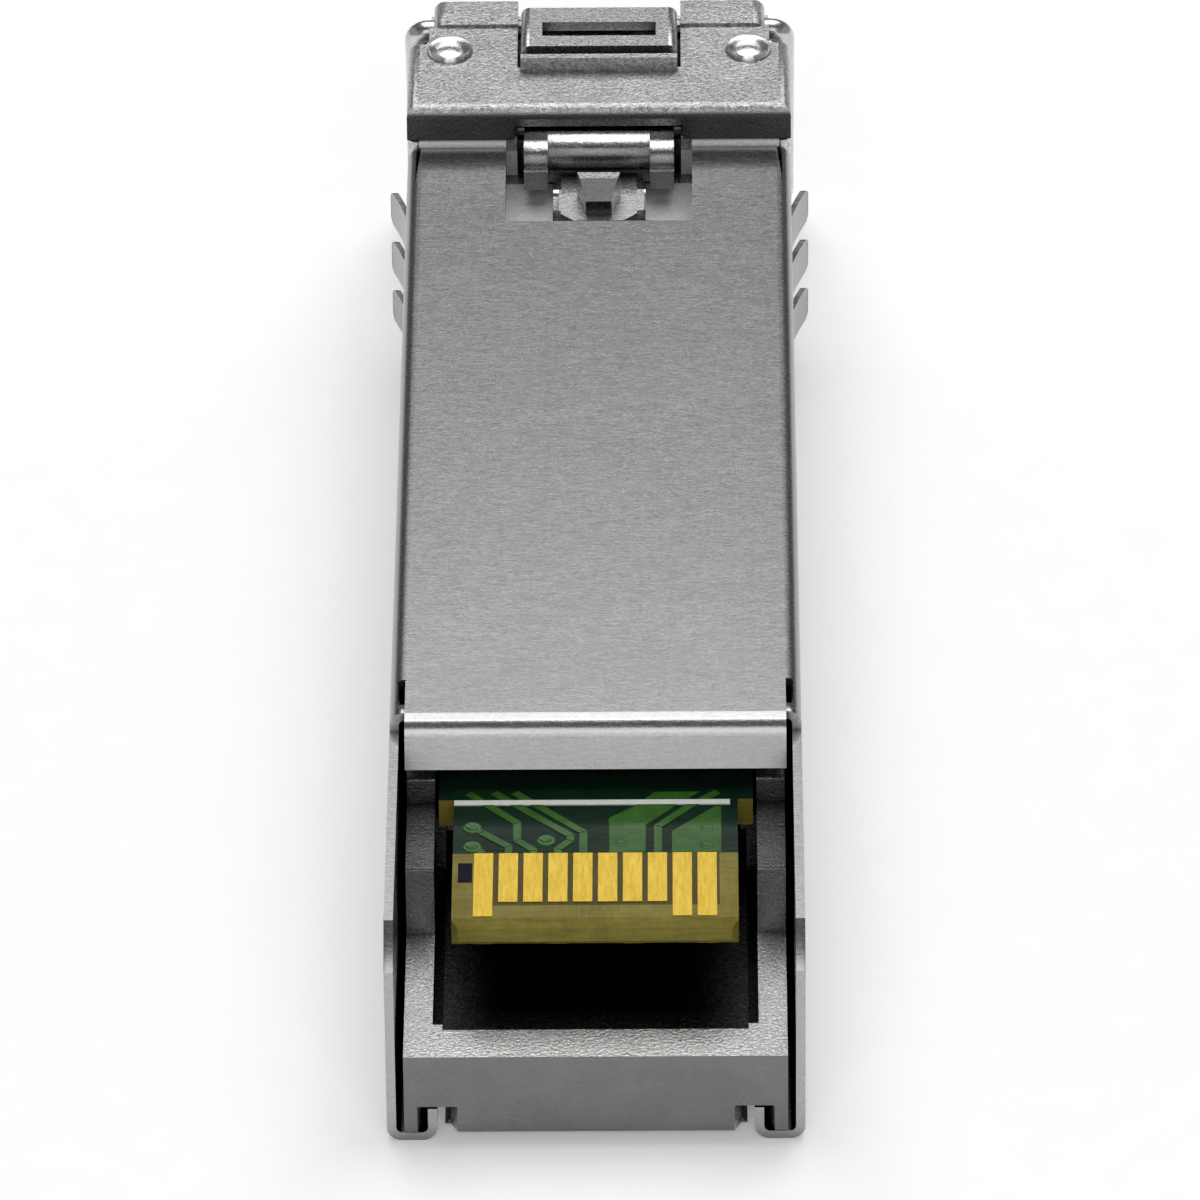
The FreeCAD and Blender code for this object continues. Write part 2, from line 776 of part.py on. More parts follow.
# Staked rivets: a shank in the nose and a head with a raised rim, a moat and a low dome
def make_rivets():
    seat = "plate_top - nose_top"
    rim = seat + " + rivet_height"
    profile = [
        ("0", "0 - rivet_depth"), ("rivet_shank", "0 - rivet_depth"), ("rivet_shank", seat),
        ("rivet_head", seat), ("rivet_rim", rim), ("moat_radius", seat + " + moat_height"),
        ("0", seat + " + dome_height"),
    ]

    def rivet(name, sign):
        return turned(name, profile, "%s*rivet_x" % sign, "rivet_y", "nose_top", Rotation())

    pair = doc.addObject("Part::Compound", "rivets")
    pair.Links = both_sides(rivet, "rivet")
    keep(pair, "nose_rivets")


make_rivets()


# Latch rocker: tooth and tongue behind the pivot, windowed lug and driven finger before it
def make_rocker():
    arm = box("arm", span("arm_half"), ("barrel_y - barrel_radius/2", "lug_start + lug_wall"),
              ("arm_bottom", "arm_top"))
    barrel = rod("barrel", "x", ("-barrel_half", "barrel_y", "barrel_z"), "2*barrel_half", "barrel_radius")

    def boss(name, sign):
        start = "barrel_half" if sign == "1" else "-arm_half"
        return rod(name, "x", (start, "barrel_y - boss_back", "barrel_z - boss_drop"),
                   "arm_half - barrel_half", "boss_radius")

    def foot(name, sign):
        return box(name, mirrored(sign, "barrel_half", "arm_half"),
                   ("barrel_y - boss_back - foot_length", "barrel_y"),
                   ("arm_bottom + boss_drop", "barrel_z - boss_drop"))

    tongue_plan = [
        ("0 - tongue_half", "tongue_end + tongue_round"), ("tongue_round - tongue_half", "tongue_end"),
        ("tongue_half - tongue_round", "tongue_end"), ("tongue_half", "tongue_end + tongue_round"),
        ("tongue_half", "barrel_y"), ("0 - tongue_half", "barrel_y"),
    ]
    tongue = padded("tongue", "XY_Plane", tongue_plan, "tongue_thick", "tongue_top - tongue_thick")

    crest = "cover_top + tooth_height"
    tooth_tail = "shoulder_line - tooth_length"
    tooth_side = [
        ("shoulder_line", "tongue_top - tongue_thick/2"), ("shoulder_line", crest),
        ("shoulder_line - tooth_crest", crest), (tooth_tail, "tongue_top + tooth_tail_rise"),
        (tooth_tail, "tongue_top - tongue_thick/2"),
    ]
    tooth_plan = [
        ("0 - tooth_half", "shoulder_line"), ("tooth_half", "shoulder_line"),
        ("tooth_tip_half", tooth_tail), ("0 - tooth_tip_half", tooth_tail),
    ]
    tooth = doc.addObject("Part::MultiCommon", "tooth")
    tooth.Shapes = [
        padded("tooth_side", "YZ_Plane", tooth_side, "2*tooth_half", "0 - tooth_half"),
        padded("tooth_plan", "XY_Plane", tooth_plan, "cover_top", "tooth_height"),
    ]

    def lug_corner(middle, direction):
        return abs(direction.y) > PARALLEL and abs(middle.z - size.lug_top) < CLOSE

    lug_low = box("lug_low", span("lug_half"), ("lug_start", "lug_front"), ("arm_bottom", "lug_top"))
    lug_high = box("lug_high", span("lug_half"), ("lug_start", "lug_front + rim_overhang"),
                   ("lug_top - lug_wall", "lug_top"))
    lug_body = round_edges("lug_body", lug_low, size.lug_round, lug_corner)
    lug_rim = round_edges("lug_rim", lug_high, size.lug_round, lug_corner)
    driver = box("driver", span("driver_half"),
                 ("window_start", "bail_y + crank_ahead + driver_reach"), ("driver_underside", "driver_top"))
    tools = [
        box("window", span("window_half"), ("window_start", "window_start + window_length"),
            ("driver_top", "lug_top + sheet")),
        box("sight_slot", span("window_half"),
            ("window_start", "lug_front + rim_overhang + sheet"), ("driver_top", "lug_top - lug_wall")),
        rod("rocker_bore", "x", ("-arm_half - sheet", "pivot_y", "pivot_z"), "2*arm_half + 2*sheet",
            "pin_radius + running_fit"),
    ]
    pieces = [lug_body, lug_rim, driver, arm, barrel, tongue, tooth]
    solid = fuse("rocker_solid", pieces + both_sides(boss, "boss") + both_sides(foot, "foot"))
    keep(cut("rocker", solid, tools), "latch_rocker")


make_rocker()
keep(rod("pin", "x", ("-pin_half", "pivot_y", "pivot_z"), "2*pin_half", "pin_radius"), "rocker_pin")


# Latch spring: an arched leaf in the tongue's slot that lifts the tooth
def make_spring():
    low = size.tongue_slot_floor + size.spring_gap
    high = size.tongue_top - size.tongue_thick - size.spring_gap
    start = size.tongue_end + size.tongue_round
    end = start + size.spring_length

    def arch(inset):
        def at(y, z):
            return Vector(-size.spring_half, y, z)
        return Part.Arc(at(start + inset, low), at((start + end) / 2, high - inset), at(end - inset, low))

    leaf = bowed_strip(arch, size.spring_sheet)
    keep(shaped("spring", leaf.extrude(Vector(2 * size.spring_half, 0, 0))), "latch_spring")


make_spring()


# Bail: one bent wire, with a cranked middle that lifts the rocker's finger
def bent_path(corners, radii):
    """Straight runs between the corners, joined by tangent arcs where a corner has a radius."""
    edges = []
    start = corners[0]
    for before, corner, after, radius in zip(corners, corners[1:], corners[2:], radii):
        back = (before - corner).normalize()
        ahead = (after - corner).normalize()
        half_angle = back.getAngle(ahead) / 2
        trim = radius / math.tan(half_angle)
        enter = corner + back * trim
        leave = corner + ahead * trim
        edges.append(Part.LineSegment(start, enter).toShape())
        if radius:
            inward = (back + ahead).normalize()
            middle = corner + inward * (radius / math.sin(half_angle) - radius)
            edges.append(Part.Arc(enter, middle, leave).toShape())
        start = leave
    edges.append(Part.LineSegment(start, corners[-1]).toShape())
    return Part.Wire(edges)


def make_bail():
    pivot = (size.bail_y, size.bail_z)
    crank = (size.bail_y + size.crank_ahead, size.bail_z - size.crank_dip)
    crossbar = (size.crossbar_y, size.crossbar_z)
    right = [
        Vector(size.crank_gap / 2, *crank),
        Vector(size.crank_half, *crank),
        Vector(size.crank_half + size.crank_jog, *pivot),
        Vector(size.bail_half, *pivot),
        Vector(size.bail_half, *crossbar),
    ]
    left = [Vector(-corner.x, corner.y, corner.z) for corner in reversed(right)]
    bends = [0, 0, size.bail_bend, size.bail_bend]
    path = bent_path(right + left, bends + bends[::-1])
    section = Part.Wire(Part.makeCircle(size.wire_radius, right[0], Vector(1, 0, 0)))
    wire = path.makePipeShell([section], True, True, MITRED)
    keep(shaped("bail", wire), "bail_wire")


make_bail()


# Circuit board with its edge contacts
def make_board():
    right = [
        ("board_half - board_corner", "board_end"), ("board_half", "board_end + board_corner"),
        ("board_half", "board_widen_y"), ("board_wide_half", "board_widen_y"),
        ("board_wide_half", "board_front"),
    ]
    left = [("0 - (%s)" % across, along) for across, along in reversed(right)]
    board = padded("board", "XY_Plane", right + left, "board_thick", "board_bottom")
    doc.recompute()
    pad = board.Tip
    edges = []
    for number, edge in enumerate(pad.Shape.Edges, start=1):
        if abs(edge.CenterOfMass.y - size.board_end) < CLOSE and edge.BoundBox.XLength > size.board_half:
            edges.append("Edge%d" % number)
    bevel = board.newObject("PartDesign::Chamfer", "insertion_bevel")
    bevel.Base = (pad, edges)
    bevel.setExpression("Size", bound("board_bevel"))
    keep(board, "circuit_board")


def make_contacts(label, low, high, long_ones):
    pads = []
    for index in range(CONTACTS):
        middle = "(%d - %d/2)*pad_pitch" % (index, CONTACTS - 1)
        end = "pad_long_end" if index in long_ones else "pad_short_end"
        pads.append(box("%s%d" % (label, index), (middle + " - pad_width/2", middle + " + pad_width/2"),
                        (end, "pad_inner"), (low, high)))
    row = doc.addObject("Part::Compound", label + "_row")
    row.Links = pads
    keep(row, label)


make_board()
make_contacts("contacts_latch_side", "board_top", "board_top + pad_sheet", LATCH_SIDE_LONG)
make_contacts("contacts_label_side", "board_bottom - pad_sheet", "board_bottom", LABEL_SIDE_LONG)


# Optical sub-assemblies: can, welded holder, ferrule receptacle, sleeve, fibre stub and flex
def make_optics(side, sign):
    middle = "%s*port_pitch/2" % sign
    along = ALONG["y"]

    can = [
        ("0", "0"), ("header_radius", "0"), ("header_radius", "header_thick"), ("cap_radius", "header_thick"),
        ("cap_radius", "header_thick + cap_length"), ("0", "header_thick + cap_length"),
    ]
    keep(turned(side + "_can_body", can, middle, "header_y", "axis_height", along), side + "_can")

    holder = rectangle(("cap_radius + running_fit", "holder_radius"), ("0", "holder_length"))
    keep(turned(side + "_holder_body", holder, middle, "header_y + header_thick", "axis_height", along),
         side + "_holder")

    collar_end = "waist_length + collar_length"
    total = "(barrel_end - waist_y)"
    seat = "sleeve_outer + running_fit"
    stub_start = total + " - sleeve_length - stub_length"
    receptacle = [
        ("0", "0"), ("waist_radius", "0"), ("waist_radius", "waist_length"),
        ("holder_radius", "waist_length"), ("holder_radius", collar_end), ("waist_radius", collar_end),
        ("waist_radius", total), (seat, total), (seat, stub_start), ("0", stub_start),
    ]
    keep(turned(side + "_receptacle_body", receptacle, middle, "waist_y", "axis_height", along),
         side + "_receptacle")

    sleeve_y = "barrel_end - sleeve_length"
    sleeve = rectangle(("ferrule_radius", "sleeve_outer"), ("0", "sleeve_length"))
    keep(turned(side + "_sleeve_body", sleeve, middle, sleeve_y, "axis_height", along), side + "_sleeve")
    stub = rectangle(("0", "sleeve_outer"), ("0", "stub_length"))
    keep(turned(side + "_stub_body", stub, middle, sleeve_y + " - stub_length", "axis_height", along),
         side + "_stub")

    tail = "board_front - flex_overlap"
    strip = [
        (tail, "board_top"), ("header_y - flex_sheet", "board_top"),
        ("header_y - flex_sheet", "axis_height - flex_half"), ("header_y", "axis_height - flex_half"),
        ("header_y", "board_top + flex_sheet"), (tail, "board_top + flex_sheet"),
    ]
    keep(padded(side + "_flex_body", "YZ_Plane", strip, "2*flex_half", middle + " - flex_half"),
         side + "_flex")


make_optics("transmit", "-1")
make_optics("receive", "1")


# Optics retainer: a comb that drops over both waists and holds the collars to the cross wall
def make_retainer():
    rear = "waist_y + retainer_play"
    front = "waist_y + waist_length - retainer_play"
    through = (rear + " - sheet", front + " + sheet")
    top = "keel_bottom - retainer_room"
    block = box("retainer_block", span("retainer_half"), (rear, front), ("inner_floor", top))

    def saddle(name, sign):
        return rod(name, "y", ("%s*port_pitch/2" % sign, through[0], "axis_height"),
                   "waist_length + 2*sheet", "waist_radius + running_fit")

    def throat(name, sign):
        middle = "%s*port_pitch/2" % sign
        reach = "(waist_radius + running_fit)"
        return box(name, (middle + " - " + reach, middle + " + " + reach), through,
                   ("axis_height", top + " + sheet"))

    tools = both_sides(saddle, "saddle") + both_sides(throat, "throat")
    keep(cut("retainer", block, tools), "optics_retainer")


make_retainer()


# Chips and capacitors on the board's latch side
def make_chip(label, x, y, side):
    plan = rectangle(("%s - %s/2" % (x, side), "%s + %s/2" % (x, side)),
                     ("%s - %s/2" % (y, side), "%s + %s/2" % (y, side)))
    keep(padded(label + "_body", "XY_Plane", plan, "chip_height", "board_top"), label)


def make_capacitors():
    row = []
    for index in range(CAPACITORS):
        middle = "(%d - %d/2)*capacitor_pitch" % (index, CAPACITORS - 1)
        row.append(box("capacitor%d" % index,
                       (middle + " - capacitor_width/2", middle + " + capacitor_width/2"),
                       ("capacitor_y", "capacitor_y + capacitor_length"),
                       ("board_top", "board_top + capacitor_height")))
    group = doc.addObject("Part::Compound", "capacitor_row")
    group.Links = row
    keep(group, "chip_capacitors")


make_chip("driver_chip", "0 - chip_side_x", "chip_front_y", "driver_chip_size")
make_chip("amplifier_chip", "chip_side_x", "chip_front_y", "amplifier_chip_size")
make_chip("controller_chip", "0", "controller_y", "controller_chip_size")
make_capacitors()


# Check every feature, then write each piece
doc.recompute()
for item in doc.Objects:
    if "Invalid" in item.State or "Error" in item.State:
        raise RuntimeError("failed feature: %s %s" % (item.Name, item.State))
for node in nodes:
    if node.Shape.isNull() or not node.Shape.isValid() or not node.Shape.Solids:
        raise RuntimeError("bad shape: " + node.Label)
os.makedirs("parts", exist_ok=True)
for node in nodes:
    node.Shape.exportStep("parts/%s.step" % node.Label)
    print("%-22s solids %d volume %.3f" % (node.Label, len(node.Shape.Solids), node.Shape.Volume))
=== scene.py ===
import math
import bmesh
import bpy
from mathutils import Matrix, Vector


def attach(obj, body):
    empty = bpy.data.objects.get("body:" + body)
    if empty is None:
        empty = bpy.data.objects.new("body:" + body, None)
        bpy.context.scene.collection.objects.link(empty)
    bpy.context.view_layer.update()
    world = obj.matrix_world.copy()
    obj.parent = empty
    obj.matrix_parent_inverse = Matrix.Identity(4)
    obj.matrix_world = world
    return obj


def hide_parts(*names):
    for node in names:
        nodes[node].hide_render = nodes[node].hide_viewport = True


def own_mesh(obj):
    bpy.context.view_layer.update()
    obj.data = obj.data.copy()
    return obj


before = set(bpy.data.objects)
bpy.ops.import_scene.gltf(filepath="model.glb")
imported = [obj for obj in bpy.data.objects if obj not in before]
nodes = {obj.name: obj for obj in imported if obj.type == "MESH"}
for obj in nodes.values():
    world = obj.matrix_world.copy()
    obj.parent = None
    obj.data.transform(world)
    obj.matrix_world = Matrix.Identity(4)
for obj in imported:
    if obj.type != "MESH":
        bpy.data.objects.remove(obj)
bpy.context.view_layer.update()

# Lengths of the module are in millimetres, and MM turns them into the frame's metres
MM = 0.001

# Camera at the photograph's place
CAMERA_PITCH = 33.26
CAMERA_YAW = -0.52
CAMERA_ROLL = -0.60
CAMERA_PLACE = (3.080, -306.450, 221.659)
SENSOR_WIDTH = 36
FOCAL_LENGTH = 353.8
NEAR_CLIP = 0.02


def make_camera():
    pitch = math.radians(CAMERA_PITCH)
    yaw = math.radians(CAMERA_YAW)
    roll = math.radians(CAMERA_ROLL)
    forward = Vector((math.sin(yaw) * math.cos(pitch), math.cos(yaw) * math.cos(pitch), -math.sin(pitch)))
    level = Vector((math.cos(yaw), -math.sin(yaw), 0))
    upright = level.cross(forward)
    right = level * math.cos(roll) + upright * math.sin(roll)
    top = upright * math.cos(roll) - level * math.sin(roll)
    data = bpy.data.cameras.new("camera")
    data.sensor_width = SENSOR_WIDTH
    data.lens = FOCAL_LENGTH
    data.clip_start = NEAR_CLIP
    camera = bpy.data.objects.new("camera", data)
    turn = Matrix((right, top, -forward)).transposed().to_4x4()
    turn.translation = Vector(CAMERA_PLACE) * MM
    camera.matrix_world = turn
    bpy.context.collection.objects.link(camera)
    bpy.context.scene.camera = camera


# Materials
# Samples and spread of the painted shade in corners and gaps
CORNER_SHADE_SAMPLES = 6
CORNER_SHADE_RANGE = (0.15, 0.75)
MIX_FACTOR, MIX_FIRST, MIX_SECOND, MIX_COLOUR = 0, 6, 7, 2


class Surface:
    """A principled material with texture nodes in the object's own coordinates."""

    def __init__(self, name, **constants):
        self.material = bpy.data.materials.new(name)
        self.material.use_nodes = True
        self.tree = self.material.node_tree
        self.shader = self.tree.nodes["Principled BSDF"]
        for socket, value in constants.items():
            self.shader.inputs[socket.replace("_", " ")].default_value = value
        self.place = self.node("ShaderNodeTexCoord").outputs["Object"]
        self.normal = None

    def node(self, kind, inputs=None, **settings):
        """Add a node; each of its inputs is linked to a socket or set to a constant."""
        made = self.tree.nodes.new(kind)
        for name, value in settings.items():
            setattr(made, name, value)
        for socket, value in (inputs or {}).items():
            if isinstance(value, bpy.types.NodeSocket):
                self.tree.links.new(value, made.inputs[socket])
            else:
                made.inputs[socket].default_value = value
        return made

    def noise(self, grain, detail=3.0, roughness=0.6):
        """Noise whose grain is a length in millimetres, or one length per axis."""
        lengths = grain if isinstance(grain, tuple) else (grain, grain, grain)
        mapping = self.node("ShaderNodeMapping", {
            "Vector": self.place, "Scale": [1 / (length * MM) for length in lengths]})
        made = self.node("ShaderNodeTexNoise", {
            "Vector": mapping.outputs["Vector"], "Scale": 1.0, "Detail": detail, "Roughness": roughness})
        return made.outputs["Fac"]

    def spread(self, value, low, high, start=0.3, end=0.7):
        """Stretch a value onto a range; start and end suit a noise."""
        made = self.node("ShaderNodeMapRange", {
            "Value": value, "From Min": start, "From Max": end, "To Min": low, "To Max": high})
        return made.outputs["Result"]

    def blend(self, factor, first, second):
        made = self.node("ShaderNodeMix", {MIX_FACTOR: factor, MIX_FIRST: first, MIX_SECOND: second},
                         data_type="RGBA")
        return made.outputs[MIX_COLOUR]

    def mottle(self, noise, first, second):
        """Two colours, shared out by a noise."""
        return self.blend(self.spread(noise, 0, 1), first, second)

    def math(self, operation, first, second):
        return self.node("ShaderNodeMath", {0: first, 1: second}, operation=operation).outputs[0]

    def weigh(self, first, share, second, rest):
        """The sum of two values, each times a share."""
        return self.math("ADD", self.math("MULTIPLY", first, share), self.math("MULTIPLY", second, rest))

    def axis(self, source, name):
        return self.node("ShaderNodeSeparateXYZ", {"Vector": source}).outputs[name]

    def facing(self, name):
        """How far the surface faces along one axis."""
        return self.axis(self.node("ShaderNodeTexCoord").outputs["Normal"], name)

    def inside(self, low, high):
        """One inside a box between two corners in millimetres, nought outside it."""
        mask = None
        for name, start, end in zip("XYZ", low, high):
            along = self.axis(self.place, name)
            within = self.math("MULTIPLY", self.math("GREATER_THAN", along, start * MM),
                               self.math("LESS_THAN", along, end * MM))
            mask = self.math("MULTIPLY", mask, within) if mask else within
        return mask

    def corner_shade(self, tone, reach, shade_colour):
        """Painted shade: darken a colour by ambient occlusion in the corners and gaps that are narrower than
        a reach in millimetres.
        """
        shade = self.node("ShaderNodeAmbientOcclusion", {"Distance": reach * MM}, samples=CORNER_SHADE_SAMPLES)
        return self.blend(self.spread(shade.outputs["AO"], 0, 1, *CORNER_SHADE_RANGE), shade_colour, tone)

    def feed(self, socket, value):
        self.tree.links.new(value, self.shader.inputs[socket])

    def bump(self, height, depth):
        """Relief of a depth in millimetres, laid over any earlier relief."""
        inputs = {"Height": height, "Distance": depth * MM, "Strength": 1.0}
        if self.normal:
            inputs["Normal"] = self.normal
        self.normal = self.node("ShaderNodeBump", inputs).outputs["Normal"]
        self.feed("Normal", self.normal)


def grey(level):
    return (level, level, level, 1)


COVER_HALF = 6.7
COVER_ROLL = 0.07
# Reach and colour of the painted shade in the cover's corners and gaps, such as under the nose
COVER_SHADE_REACH = 1.0
COVER_CORNER_SHADE = grey(0.05)
COVER_TONES = (grey(0.32), grey(0.51))
COVER_CLOUD = grey(0.34)
# Painted shade on faces of the cover that turn to the side
COVER_SIDE_SHADE = (grey(0.20), grey(0.27))
STREAK_DEPTH = 0.0015


def brushed_sheet():
    """Folded sheet, finely brushed across, its top rolling off a little towards the folds. Faces turned to
    the side are painted darker as shade, and corners and gaps get painted shade.
    """
    made = Surface("brushed_sheet", Metallic=1.0)
    across = made.noise((0.5, 0.07, 0.07), 3)
    fine = made.noise((0.14, 0.06, 0.06), 2)
    cloudy = made.noise((6.0, 2.2, 2.2), 2)
    streak = made.weigh(across, 0.45, fine, 0.55)
    tone = made.mottle(streak, *COVER_TONES)
    tone = made.blend(made.spread(cloudy, 0, 0.30), tone, COVER_CLOUD)
    # Painted shade: faces that turn to the side are darker
    side_shade_mask = made.spread(made.math("ABSOLUTE", made.facing("X"), 0.0), 0, 1, 0.25, 0.75)
    tone = made.blend(side_shade_mask, tone, made.mottle(streak, *COVER_SIDE_SHADE))
    # Painted shade in the corners and gaps
    made.feed("Base Color", made.corner_shade(tone, COVER_SHADE_REACH, COVER_CORNER_SHADE))
    made.feed("Roughness", made.spread(streak, 0.20, 0.30))
    aside = made.math("MULTIPLY", made.axis(made.place, "X"), 1 / (COVER_HALF * MM))
    square = made.math("MULTIPLY", aside, aside)
    sixth = made.math("MULTIPLY", made.math("MULTIPLY", square, square), square)
    made.bump(made.math("MULTIPLY", sixth, -1.0), COVER_ROLL)
    made.bump(streak, STREAK_DEPTH)
    return made.material


# Colour of the painted shade in the corners and gaps of metal pieces
METAL_CORNER_SHADE = grey(0.03)
# Near black of the painted shade in the well under the board
WELL_SHADE_TONES = (grey(0.01), grey(0.05))
# Metallic share of the less metallic boxes with painted light
MATT_METALLIC = 0.15
ROUGHNESS_SPREAD = 0.18

# How far a face turns to the rear for a painted shade on rearward faces, from fully to not at all
UPRIGHT = (-0.97, -0.8)
ROUNDED = (-0.72, -0.58)
SLOPING = (-0.40, -0.35)


def cast_metal(name, dark, light, depth, grain, sheen, reach=0.9, rear_shade=(), well_shade=None, matt_and_lit=()):
    """Grained casting with its darkest and lightest grey.

    Rearward faces get grey levels of painted shade, each up to a length and with its turn. A box gets a near
    black painted shade, less metallic boxes get painted light with their grey levels, and corners and gaps
    get painted shade.
    """
    made = Surface(name, Metallic=1.0)
    sand = made.noise(grain, 3, 0.65)
    grit = made.noise(grain * 0.45, 2)
    patch = made.noise(1.6, 3)
    tone = made.mottle(sand, grey(dark), grey(light))
    tone = made.blend(made.spread(patch, 0, 0.35), tone, grey(dark))
    # Painted shade: rearward faces get a grey of their own
    for level, limit, turn in rear_shade:
        rearward = made.math("MULTIPLY", made.spread(made.facing("Y"), 1, 0, *turn),
                             made.math("LESS_THAN", made.axis(made.place, "Y"), limit * MM))
        tone = made.blend(rearward, tone, made.mottle(patch, grey(level * 0.85), grey(level)))
    # Painted shade: the well under the board is near black
    if well_shade:
        tone = made.blend(made.inside(*well_shade), tone, made.mottle(sand, *WELL_SHADE_TONES))
    # Painted shade in the corners and gaps
    tone = made.corner_shade(tone, reach, METAL_CORNER_SHADE)
    shine = None
    # Painted light: these boxes are lighter and less metallic, and come after the painted corner shade
    for box, level in matt_and_lit:
        dull_and_lit = made.inside(*box)
        tone = made.blend(dull_and_lit, tone, made.mottle(sand, grey(level * 0.9), grey(level * 1.1)))
        share = made.spread(dull_and_lit, 1.0, MATT_METALLIC, 0, 1)
        shine = made.math("MINIMUM", shine, share) if shine else share
    if shine:
        made.feed("Metallic", shine)
    made.feed("Base Color", tone)
    made.feed("Roughness", made.spread(grit, sheen, sheen + ROUGHNESS_SPREAD))
    made.bump(sand, depth)
    made.bump(grit, depth * 0.4)
    return made.material


STAIN_SHARE = 0.72
STAIN_GRAIN = 0.8
# Reach of the painted shade in the corners and gaps of smooth metal
SMOOTH_SHADE_REACH = 0.8
DRAW_DEPTH = 0.0015


def smooth_metal(name, tone, roughness, draw=(0.05, 1.5, 0.05)):
    """Drawn, ground or turned metal with painted shade in its corners and gaps; draw is the length of its
    marks along each axis.
    """
    made = Surface(name, Metallic=1.0)
    lines = made.noise(draw, 3)
    stain = made.noise(STAIN_GRAIN, 3)
    darker = tuple(STAIN_SHARE * part for part in tone[:3]) + (1,)
    made.feed("Base Color", made.corner_shade(made.mottle(stain, darker, tone), SMOOTH_SHADE_REACH, METAL_CORNER_SHADE))
    made.feed("Roughness", made.spread(lines, roughness * 0.75, roughness * 1.3))
    made.bump(lines, DRAW_DEPTH)
    return made.material


GOLD_TONES = ((0.52, 0.345, 0.037, 1), (0.68, 0.48, 0.081, 1))
GOLD_DEPTH = 0.004


def plated_gold():
    made = Surface("plated_gold", Metallic=1.0)
    wear = made.noise((0.10, 0.7, 0.5), 3)
    pits = made.noise(0.07, 3)
    made.feed("Base Color", made.mottle(wear, *GOLD_TONES))
    made.feed("Roughness", made.spread(pits, 0.26, 0.46))
    made.bump(pits, GOLD_DEPTH)
    return made.material


def plain(name, first, second, roughness, grain, depth, **constants):
    """A dielectric with mottled colour and fine relief."""
    made = Surface(name, **constants)
    coarse = made.noise(grain * 6, 3)
    fine = made.noise(grain, 3)
    made.feed("Base Color", made.mottle(coarse, first, second))
    made.feed("Roughness", made.spread(fine, roughness * 0.8, roughness * 1.25))
    made.bump(fine, depth)
    return made.material


MASK_EDGE = 7.08
# Box of the painted shade between the pads
PAD_FIELD = ((-3.9, 4.15, 6.0), (4.0, MASK_EDGE, 6.5))
FIBRE_TONES = ((0.20, 0.172, 0.026, 1), (0.33, 0.288, 0.065, 1))
FIBRE_CLOUD = (0.14, 0.105, 0.022, 1)
# Painted shade in the gaps between the contact pads
SHADE_BETWEEN_PADS = (0.030, 0.020, 0.009, 1)
MASK_TONES = ((0.004, 0.016, 0.009, 1), (0.008, 0.028, 0.014, 1))
MASK_ROUGHNESS_SHARE = 0.4
WEAVE_DEPTH = 0.006


def board_laminate():
    """Bare glass fibre at the contact end with painted shade between the pads, dark solder mask further in.
    """
    made = Surface("board_laminate", Specular_IOR_Level=0.12)
    weave_x = made.noise((1.2, 0.12, 0.12), 2)
    weave_y = made.noise((0.12, 1.2, 0.12), 2)
    cloud = made.noise(1.1, 3)
    weave = made.weigh(weave_x, 0.6, weave_y, 0.4)
    bare = made.mottle(weave, *FIBRE_TONES)
    bare = made.blend(made.spread(cloud, 0, 0.55), bare, FIBRE_CLOUD)
    mask = made.mottle(cloud, *MASK_TONES)
    # Painted shade between the pads
    between = made.inside(*PAD_FIELD)
    bare = made.blend(made.math("MULTIPLY", between, 0.7), bare, SHADE_BETWEEN_PADS)
    along = made.axis(made.place, "Y")
    masked = made.math("MULTIPLY", made.math("GREATER_THAN", along, MASK_EDGE * MM),
                       made.math("GREATER_THAN", made.facing("Z"), 0.5))
    made.feed("Base Color", made.blend(masked, bare, mask))
    made.feed("Roughness", made.math("MULTIPLY", made.spread(weave, 0.30, 0.48),
                                     made.spread(masked, 1.0, MASK_ROUGHNESS_SHARE, 0, 1)))
    made.bump(weave, WEAVE_DEPTH)
    return made.material


# Parts of the castings with a painted shade or painted light of their own, as boxes between two corners
# The well under the board, painted near black as shade
BOARD_WELL = ((-5.25, 1.52, 0.5), (5.25, 16.0, 3.20))
# Pocket floor, pocket wall and nose ledge, given painted light
LATCH_POCKET = ((-3.3, 40.0, 7.0), (3.3, 47.2, 7.3))
# The painted light on the pocket wall stops below its top, which stays dark as shade
POCKET_WALL = ((-3.4, 47.7, 7.16), (3.4, 47.9, 8.15))
NOSE_LEDGE = ((-6.3, 47.3, 8.45), (6.3, 47.65, 8.75))

# Lengths along the module up to which rearward faces have a painted shade of their own
REAR_END = 11.0
PLATE_REAR = 48.0
BARREL_END = 46.9
TOOTH_END = 44.65

